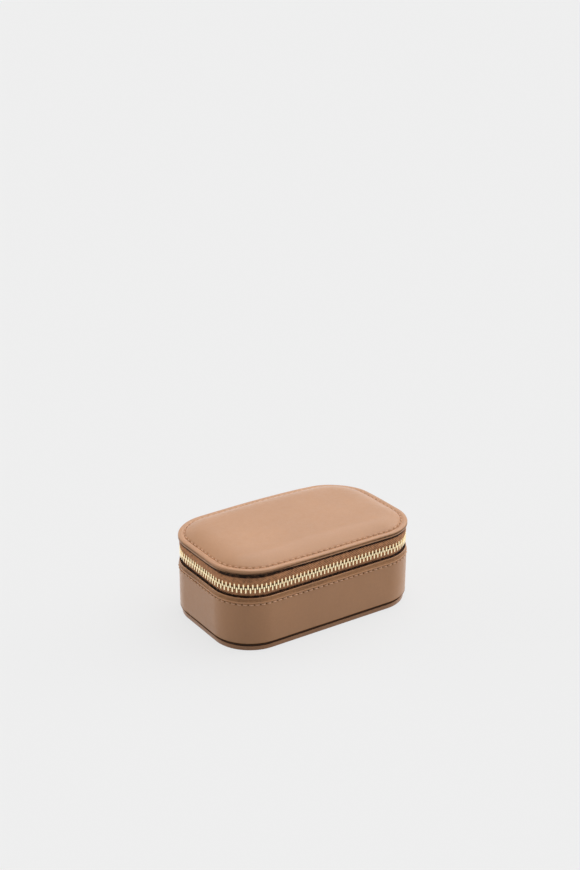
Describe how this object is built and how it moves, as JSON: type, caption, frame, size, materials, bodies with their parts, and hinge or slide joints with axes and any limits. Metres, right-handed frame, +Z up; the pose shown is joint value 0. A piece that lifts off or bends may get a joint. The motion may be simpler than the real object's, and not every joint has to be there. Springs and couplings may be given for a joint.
{
  "type": "leather jewellery case",
  "caption": "Zip-round travel jewellery case with rounded corners, a padded stitched lid on a leather hinge, a metal zip, ring rolls, compartments and a lid mirror.",
  "frame": {"origin": "on the surface the case stands on, under the middle of its sole", "axes": "+Z up, +X to the case's right along its long side, -Y to the front, so the hinge is at +Y"},
  "size_m": [0.1335, 0.0816, 0.0542],
  "materials": {
    "cover_leather": "smooth semi-aniline, satin",
    "wall_leather": "smooth semi-aniline, satin",
    "sole_leather": "smooth, satin",
    "hinge_leather": "smooth, satin",
    "card": "pressed grey-brown board, matt",
    "foam": "open-cell foam, matt",
    "lining": "microsuede, matt",
    "tape": "woven twill tape, matt",
    "teeth": "polished pale gold plate",
    "slider_metal": "polished pale gold plate",
    "thread": "waxed thread",
    "mirror_glass": "silvered glass"
  },
  "bodies": {
    "base": {"sole_leather": "sole_leather", "sole_board": "card", "wall_leather": "wall_leather", "wall_frame_board": "card", "base_neck_board": "card", "floor_board": "card", "base_wall_lining": "lining", "floor_lining": "lining", "cross_divider": "lining", "long_divider": "lining", "ring_roll_1": "lining", "ring_roll_2": "lining", "ring_roll_3": "lining", "ring_roll_4": "lining", "lower_tape": "tape", "lower_teeth": "teeth", "rear_hinge_leather": "hinge_leather", "wall_stitching": "thread"},
    "lid": {"lid_cover_leather": "cover_leather", "lid_board": "card", "lid_foam_pad": "foam", "lid_rim_board": "card", "lid_neck_board": "card", "lid_wall_lining": "lining", "lid_ceiling_lining": "lining", "mirror": "mirror_glass", "mirror_frame": "lining", "upper_tape": "tape", "upper_teeth": "teeth", "lid_stitching": "thread"},
    "slider": {"slider_body": "slider_metal", "slider_bail": "slider_metal"},
    "pull": {"pull_tab": "slider_metal"}
  },
  "joints": [
    {"name": "lid_hinge", "type": "hinge", "parent": "base", "child": "lid", "pos_m": [0, 0.039, 0.04], "axis": [-1, 0, 0], "range_deg": [0, 110], "deforming": ["rear_hinge_leather"]},
    {"name": "zip_slider", "type": "slide", "parent": "base", "child": "slider", "axis": [0, -1, 0], "range_m": [0, 0.02], "deforming": ["upper_teeth", "lower_teeth"]},
    {"name": "pull_tab_hinge", "type": "hinge", "parent": "slider", "child": "pull", "pos_m": [0.0666, 0.01045, 0.0391], "axis": [0, 0, 1], "range_deg": [0, 170]}
  ]
}
